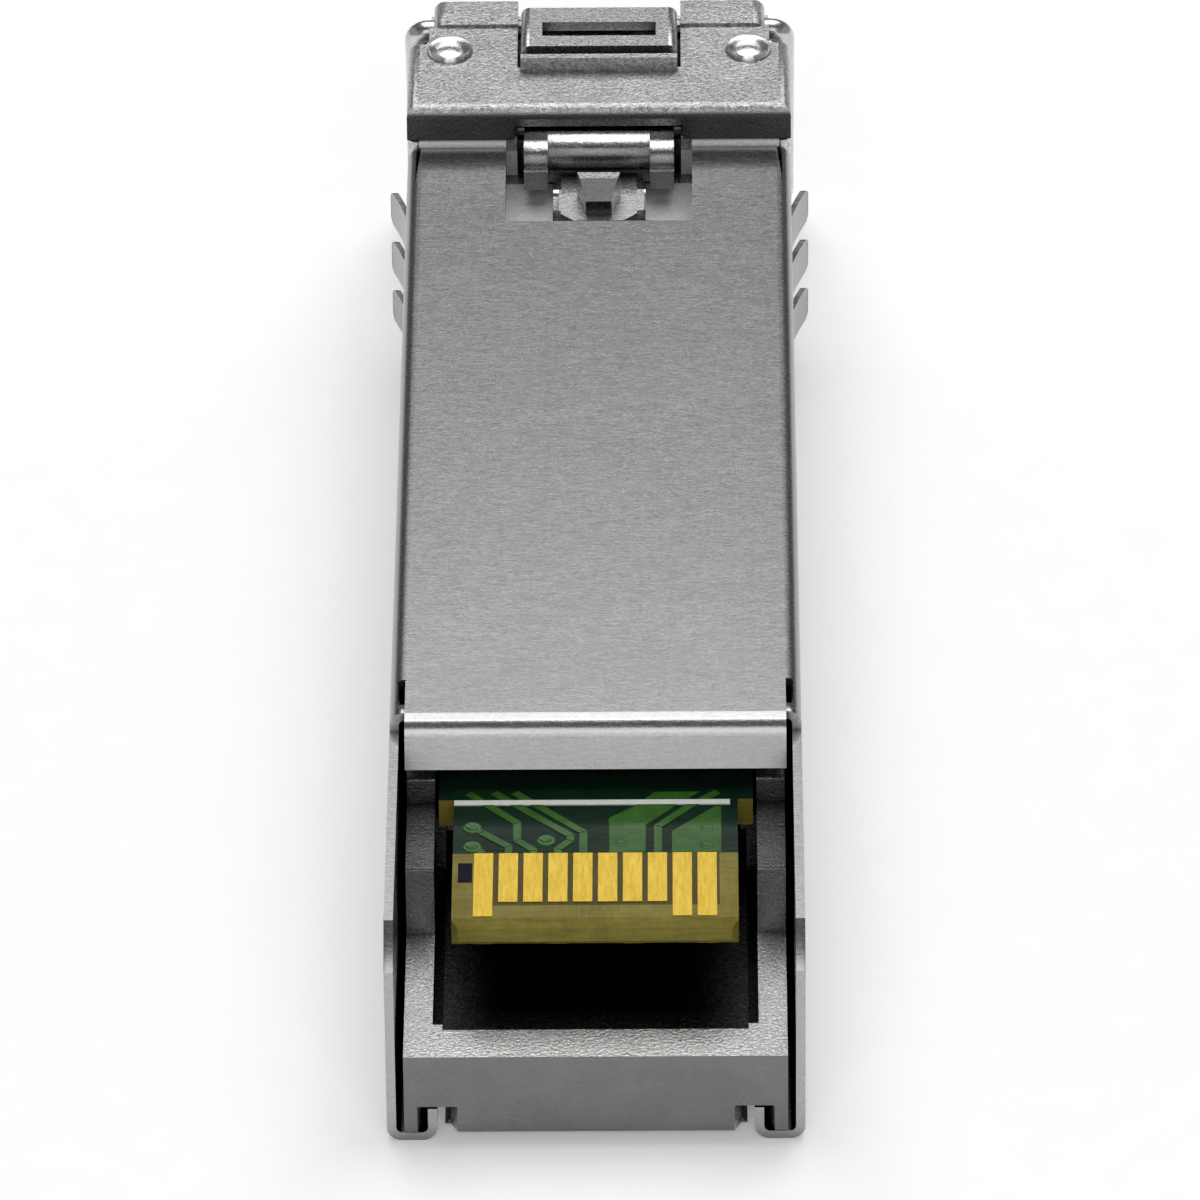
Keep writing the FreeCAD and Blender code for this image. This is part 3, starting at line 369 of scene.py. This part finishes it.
MATERIALS = {
    "cover_shell": brushed_sheet(),
    # Painted shade on rearward faces, in the well under the board and in corners; painted light in the latch
    # pocket and on the nose ledge
    "base_housing": cast_metal("cast_base", 0.42, 0.90, 0.034, 0.12, 0.22,
                               rear_shade=((0.21, REAR_END, UPRIGHT),), well_shade=BOARD_WELL,
                               matt_and_lit=((LATCH_POCKET, 0.68), (POCKET_WALL, 0.62), (NOSE_LEDGE, 0.88))),
    # Painted shade on the plate's rearward faces and in its corners
    "nose_plate": cast_metal("cast_plate", 0.25, 0.76, 0.036, 0.12, 0.24,
                             rear_shade=((0.07, PLATE_REAR, UPRIGHT),)),
    # Painted shade in the rivets' corners
    "nose_rivets": cast_metal("staked_rivet", 0.54, 0.76, 0.004, 0.16, 0.18, reach=0.5),
    # Painted shade on the rocker's rounded and sloping rearward faces, and in its corners
    "latch_rocker": cast_metal("rocker_metal", 0.46, 0.66, 0.010, 0.16, 0.20, reach=0.6,
                               rear_shade=((0.21, BARREL_END, ROUNDED), (0.08, TOOTH_END, SLOPING))),
    "rocker_pin": smooth_metal("ground_pin", (0.62, 0.62, 0.63, 1), 0.22, (1.5, 0.05, 0.05)),
    "latch_spring": smooth_metal("spring_strip", (0.50, 0.50, 0.52, 1), 0.28),
    "bail_wire": smooth_metal("drawn_wire", (0.66, 0.66, 0.67, 1), 0.26),
    "circuit_board": board_laminate(),
    "contacts_latch_side": plated_gold(),
    "contacts_label_side": plated_gold(),
    "optics_retainer": plain("comb_plastic", (0.02, 0.02, 0.022, 1), (0.04, 0.04, 0.043, 1),
                             0.5, 0.08, 0.004),
    "chip_capacitors": plain("chip_ceramic", (0.30, 0.22, 0.14, 1), (0.46, 0.36, 0.24, 1),
                             0.4, 0.05, 0.003),
}
package = plain("moulded_package", (0.012, 0.012, 0.013, 1), (0.028, 0.028, 0.030, 1), 0.55, 0.05, 0.004)
for chip in ("driver_chip", "amplifier_chip", "controller_chip"):
    MATERIALS[chip] = package
OPTICS = {
    "_can": smooth_metal("gilt_can", (0.80, 0.60, 0.28, 1), 0.24, (0.05, 0.05, 0.05)),
    "_holder": smooth_metal("turned_holder", (0.60, 0.60, 0.61, 1), 0.25, (0.6, 0.04, 0.6)),
    "_receptacle": smooth_metal("turned_receptacle", (0.64, 0.64, 0.65, 1), 0.22, (0.6, 0.04, 0.6)),
    "_sleeve": plain("white_ceramic", (0.78, 0.78, 0.74, 1), (0.86, 0.86, 0.83, 1), 0.2, 0.05, 0.001),
    "_stub": plain("stub_ceramic", (0.78, 0.78, 0.74, 1), (0.86, 0.86, 0.83, 1), 0.15, 0.05, 0.001),
    "_flex": plain("amber_film", (0.36, 0.13, 0.02, 1), (0.50, 0.20, 0.03, 1), 0.3, 0.10, 0.002),
}
for side in ("transmit", "receive"):
    for ending, material in OPTICS.items():
        MATERIALS[side + ending] = material


def dress(node, material):
    if node.material_slots:
        for slot in node.material_slots:
            slot.material = material
    else:
        node.data.materials.append(material)


for name, node in nodes.items():
    dress(node, MATERIALS[name])


# Broken edges on the metal pieces
EASED_NODES = {"cover_shell": 0.05, "base_housing": 0.10, "nose_plate": 0.08, "latch_rocker": 0.08,
               "nose_rivets": 0.05}
WELD_REACH = 0.0005
FLAT_ANGLE = 0.5
SHARP_ANGLE = 32
EASE_SEGMENTS = 2
MOST_CORNERS = 4
FACE_WEIGHT = 100


def soften(node, width):
    """Ease the sharp edges of a rigid piece by at most a width in millimetres.

    Short edges hold the bevel to less. Large flat faces are cut into triangles first, because the bevel would
    close a deep notch in them.
    """
    weld = node.modifiers.new("weld", "WELD")
    weld.merge_threshold = WELD_REACH * MM
    flats = node.modifiers.new("flats", "DECIMATE")
    flats.decimate_type = "DISSOLVE"
    flats.angle_limit = math.radians(FLAT_ANGLE)
    cut = node.modifiers.new("cut", "TRIANGULATE")
    cut.ngon_method = "BEAUTY"
    cut.min_vertices = MOST_CORNERS + 1
    bevel = node.modifiers.new("ease", "BEVEL")
    bevel.width = width * MM
    bevel.segments = EASE_SEGMENTS
    bevel.limit_method = "ANGLE"
    bevel.angle_limit = math.radians(SHARP_ANGLE)
    shade = node.modifiers.new("shade", "WEIGHTED_NORMAL")
    shade.weight = FACE_WEIGHT
    shade.keep_sharp = True


for name, width in EASED_NODES.items():
    soften(nodes[name], width)


# Pieces of the scene's own
def piece_from(name, mesh, material):
    data = bpy.data.meshes.new(name)
    mesh.to_mesh(data)
    mesh.free()
    piece = bpy.data.objects.new(name, data)
    bpy.context.collection.objects.link(piece)
    data.materials.append(material)
    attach(piece, "housing")
    return piece


def make_latch_leaf():
    """The spring again, as a piece of its own on the housing, in place of the hidden spring node."""
    leaf = bpy.data.objects.new("latch_leaf", nodes["latch_spring"].data.copy())
    bpy.context.collection.objects.link(leaf)
    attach(leaf, "housing")
    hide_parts("latch_spring")
    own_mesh(leaf)


# Steps of the cast rails beside the board
RAIL_TOP = 3.25
RAIL_INNER = 5.22
RAIL_OUTER = 6.14
STEP_REAR = 6.9
STEP_FRONT = 10.7
STEP_TOP = 5.79
STEP_ROUND = 0.10
STEP_ROUND_PARTS = 6
STEP_EASE = 0.04
SEAT = 0.02


def make_rail_steps():
    """A step on each rail, seated on the rail and against the wall's rear end. Its top is painted near black
    as shade under the cover's lip, and its rearward faces get a painted grey of their own.
    """
    # Painted shade: the step's casting is near black
    metal = cast_metal("shaded_cast_step", 0.065, 0.12, 0.030, 0.12, 0.22, rear_shade=((0.25, STEP_FRONT, UPRIGHT),))
    profile = [(STEP_FRONT + SEAT, RAIL_TOP - SEAT), (STEP_REAR, RAIL_TOP - SEAT)]
    for turn in range(STEP_ROUND_PARTS + 1):
        angle = math.radians(90 / STEP_ROUND_PARTS * turn)
        profile.append((STEP_REAR + STEP_ROUND * (1 - math.cos(angle)),
                        STEP_TOP - STEP_ROUND * (1 - math.sin(angle))))
    profile.append((STEP_FRONT + SEAT, STEP_TOP))
    mesh = bmesh.new()
    for inner, outer in ((-RAIL_INNER, -RAIL_OUTER), (RAIL_INNER, RAIL_OUTER)):
        sides = [[mesh.verts.new(Vector((x, y, z)) * MM) for y, z in profile] for x in (inner, outer)]
        for index in range(len(profile)):
            following = (index + 1) % len(profile)
            mesh.faces.new((sides[0][index], sides[0][following], sides[1][following], sides[1][index]))
        for side in sides:
            mesh.faces.new(side)
    bmesh.ops.recalc_face_normals(mesh, faces=mesh.faces)
    soften(piece_from("rail_steps", mesh, metal), STEP_EASE)


# Copper, vias and screen print on the board
def raised(mesh, corners, low, high, ease):
    """A flat-topped prism with eased upper edges; corners are in millimetres."""
    middle = sum((Vector(corner) for corner in corners), Vector((0, 0))) / len(corners)

    def ring(height, shrink):
        made = []
        for corner in corners:
            inward = (middle - Vector(corner)).normalized() * shrink
            spot = Vector((corner[0] + inward.x, corner[1] + inward.y, height))
            made.append(mesh.verts.new(spot * MM))
        return made

    rings = [ring(low, 0), ring(high - ease, 0), ring(high, ease)]
    count = len(corners)
    for lower, upper in zip(rings, rings[1:]):
        for index in range(count):
            following = (index + 1) % count
            mesh.faces.new((lower[index], lower[following], upper[following], upper[index]))
    mesh.faces.new(rings[-1])


def rectangle(left, rear, right, front):
    return [(left, rear), (right, rear), (right, front), (left, front)]


TRACK_EASE = 0.08
SHARPEST_MITRE = 0.5


def track(mesh, points, width, low, high):
    """A copper track of constant width along a line of points."""
    line = [Vector(point) for point in points]
    left, right = [], []
    for index, point in enumerate(line):
        before = (point - line[index - 1]).normalized() if index else None
        after = (line[index + 1] - point).normalized() if index + 1 < len(line) else None
        onward = after or before
        heading = ((before or after) + onward).normalized()
        aside = Vector((-heading.y, heading.x))
        mitre = abs(aside.dot(Vector((-onward.y, onward.x))))
        reach = width / 2 / max(SHARPEST_MITRE, mitre)
        left.append(point + aside * reach)
        right.append(point - aside * reach)
    for index in range(len(line) - 1):
        corners = [right[index], right[index + 1], left[index + 1], left[index]]
        raised(mesh, corners, low, high, width * TRACK_EASE)


VIA_SIDES = 28


def via(mesh, centre, outer, inner, low, high):
    """A plated ring with a rounded rim and a sunken middle, from a profile of radii and heights."""
    profile = [(outer, low), (outer * 0.97, high * 0.6 + low * 0.4), (outer * 0.82, high),
               (inner * 1.35, high), (inner, low + (high - low) * 0.4), (inner * 0.5, low + 0.003)]
    rings = []
    for radius, height in profile:
        ring = []
        for step in range(VIA_SIDES):
            angle = 2 * math.pi * step / VIA_SIDES
            spot = (centre[0] + radius * math.cos(angle), centre[1] + radius * math.sin(angle), height)
            ring.append(mesh.verts.new(Vector(spot) * MM))
        rings.append(ring)
    for lower, upper in zip(rings, rings[1:]):
        for step in range(VIA_SIDES):
            following = (step + 1) % VIA_SIDES
            face = mesh.faces.new((lower[step], lower[following], upper[following], upper[step]))
            face.smooth = True
    mesh.faces.new(rings[-1])


BOARD_TOP = 6.25
COPPER_TOP = BOARD_TOP + 0.034
TRACK_WIDTH = 0.27
TRACKS = [
    [(-4.14, 10.51), (-2.54, 8.79), (-2.53, 7.80), (-1.99, 7.24), (-1.99, 7.06)],
    [(-3.32, 10.56), (-0.80, 8.05), (-0.82, 7.78), (-1.21, 7.30), (-1.21, 7.06)],
    [(-2.65, 10.56), (-0.39, 8.25), (-0.39, 7.06)],
    [(-3.99, 8.54), (-3.69, 8.28), (-2.80, 7.45), (-2.80, 7.06)],
    [(-3.98, 7.46), (-3.62, 7.06)],
    [(2.02, 7.06), (2.02, 8.57), (3.05, 9.74), (3.98, 10.55)],
]
POUR_TOP = COPPER_TOP - 0.002
POUR_EASE = 0.03
POURS = [
    [(0.43, 7.09), (1.62, 7.09), (1.62, 8.64), (2.58, 9.74), (3.38, 10.56), (1.93, 10.57), (1.24, 9.75),
     (0.42, 9.06)],
    [(2.45, 7.09), (4.08, 7.09), (4.08, 9.73), (3.88, 9.73), (2.45, 8.28)],
]

# The first vias are open and wide, the others small
VIAS = [(-3.99, 8.54), (-3.98, 7.46), (-1.60, 7.81), (0.84, 7.59), (3.60, 8.42), (3.60, 7.45)]
OPEN_VIAS = 3
OPEN_RADIUS = 0.33
SMALL_RADIUS = 0.22
BORE_SHARE = 0.42
VIA_TOP = COPPER_TOP + 0.016

DARK_MARK = rectangle(-4.42, 5.44, -3.96, 6.54)
DARK_TOP = BOARD_TOP + 0.012
DARK_EASE = 0.01

# Two plating traces run from each short pad to the board's edge
SHORT_PADS = 7
PAD_PITCH = 0.8
FIRST_SHORT_PAD = -2.8
STUB_OFFSETS = (-0.12, 0.12)
STUB_REAR = 3.45
STUB_FRONT = 4.12
STUB_WIDTH = 0.09
STUB_TOP = BOARD_TOP + 0.008

SCREEN_LINE = rectangle(-4.60, 9.82, 4.36, 10.08)
SCREEN_TOP = COPPER_TOP + 0.012
SCREEN_EASE = 0.02


def make_board_art():
    copper = plain("masked_copper", (0.026, 0.095, 0.014, 1), (0.046, 0.145, 0.022, 1), 0.13, 0.10, 0.003,
                   Specular_IOR_Level=0.3)
    ink = plain("screen_ink", (0.66, 0.69, 0.62, 1), (0.80, 0.82, 0.76, 1), 0.6, 0.05, 0.006)
    shade = plain("dark_core", (0.006, 0.007, 0.012, 1), (0.012, 0.013, 0.020, 1), 0.7, 0.06, 0.003,
                  Specular_IOR_Level=0.1)
    stub = plain("plating_trace", (0.22, 0.17, 0.055, 1), (0.29, 0.23, 0.09, 1), 0.5, 0.06, 0.003,
                 Specular_IOR_Level=0.1)

    mesh = bmesh.new()
    for points in TRACKS:
        track(mesh, points, TRACK_WIDTH, BOARD_TOP, COPPER_TOP)
    for corners in POURS:
        raised(mesh, corners, BOARD_TOP, POUR_TOP, POUR_EASE)
    piece_from("board_tracks", mesh, copper)

    mesh = bmesh.new()
    for index, centre in enumerate(VIAS):
        outer = OPEN_RADIUS if index < OPEN_VIAS else SMALL_RADIUS
        via(mesh, centre, outer, outer * BORE_SHARE, BOARD_TOP, VIA_TOP)
    piece_from("board_vias", mesh, copper)

    mesh = bmesh.new()
    raised(mesh, DARK_MARK, BOARD_TOP, DARK_TOP, DARK_EASE)
    piece_from("board_dark_mark", mesh, shade)

    mesh = bmesh.new()
    for index in range(SHORT_PADS):
        middle = FIRST_SHORT_PAD + index * PAD_PITCH
        for offset in STUB_OFFSETS:
            ends = [(middle + offset, STUB_REAR), (middle + offset, STUB_FRONT)]
            track(mesh, ends, STUB_WIDTH, BOARD_TOP, STUB_TOP)
    piece_from("plating_stubs", mesh, stub)

    mesh = bmesh.new()
    raised(mesh, SCREEN_LINE, BOARD_TOP, SCREEN_TOP, SCREEN_EASE)
    piece_from("board_screen_line", mesh, ink)


make_latch_leaf()
make_rail_steps()
make_board_art()


# Floor and studio light, with sizes and distances in metres
FLOOR_HALF = 3.0
FLOOR_GLOW = grey(0.23)
FLOOR_TONES = (grey(0.97), grey(0.99))
LIGHT_AIM = (0, 28, 4)
WORLD_LEVEL = grey(0.12)

# Name, azimuth, elevation, distance, width, height and power
LAMPS = (
    ("key", 5, 58, 0.70, 0.70, 0.55, 2.7),
    ("overhead", 0, 86, 0.70, 0.50, 0.10, 0.8),
    ("front", 180, 34, 0.70, 0.60, 0.36, 1.1),
    ("low_front", 180, 10, 0.80, 0.80, 0.24, 0.6),
    ("right_fill", 90, 20, 0.80, 1.30, 0.34, 0.4),
    ("left_fill", 270, 20, 0.80, 1.30, 0.34, 0.4),
)


def make_floor():
    """Pale paper that glows a little towards the camera and in reflections, and keeps the shadow."""
    mesh = bmesh.new()
    bmesh.ops.create_grid(mesh, x_segments=2, y_segments=2, size=FLOOR_HALF)
    data = bpy.data.meshes.new("floor")
    mesh.to_mesh(data)
    mesh.free()
    floor = bpy.data.objects.new("floor", data)
    bpy.context.collection.objects.link(floor)
    made = Surface("floor_paper", Roughness=0.9, Specular_IOR_Level=0.0, Emission_Color=FLOOR_GLOW)
    fibre = made.noise(1.5, 2)
    made.feed("Base Color", made.mottle(fibre, *FLOOR_TONES))
    path = made.node("ShaderNodeLightPath").outputs
    seen = made.math("MAXIMUM", path["Is Camera Ray"], path["Is Glossy Ray"])
    made.feed("Emission Strength", made.math("MAXIMUM", seen, path["Is Transmission Ray"]))
    data.materials.append(made.material)


def soft_light(name, azimuth, elevation, distance, width, height, power):
    """A soft box aimed at the middle of the module; azimuth 0 is behind it, 180 on the camera's side."""
    turn, lift = math.radians(azimuth), math.radians(elevation)
    away = Vector((math.sin(turn) * math.cos(lift), math.cos(turn) * math.cos(lift), math.sin(lift)))
    data = bpy.data.lights.new(name, "AREA")
    data.shape = "RECTANGLE"
    data.size = width
    data.size_y = height
    data.energy = power
    light = bpy.data.objects.new(name, data)
    light.location = Vector(LIGHT_AIM) * MM + away * distance
    light.rotation_euler = away.to_track_quat("Z", "Y").to_euler()
    bpy.context.collection.objects.link(light)


def make_world():
    world = bpy.data.worlds.new("studio")
    world.use_nodes = True
    world.node_tree.nodes["Background"].inputs["Color"].default_value = WORLD_LEVEL
    bpy.context.scene.world = world


make_floor()
for lamp in LAMPS:
    soft_light(*lamp)
make_world()
make_camera()
bpy.context.scene.view_settings.view_transform = "Standard"
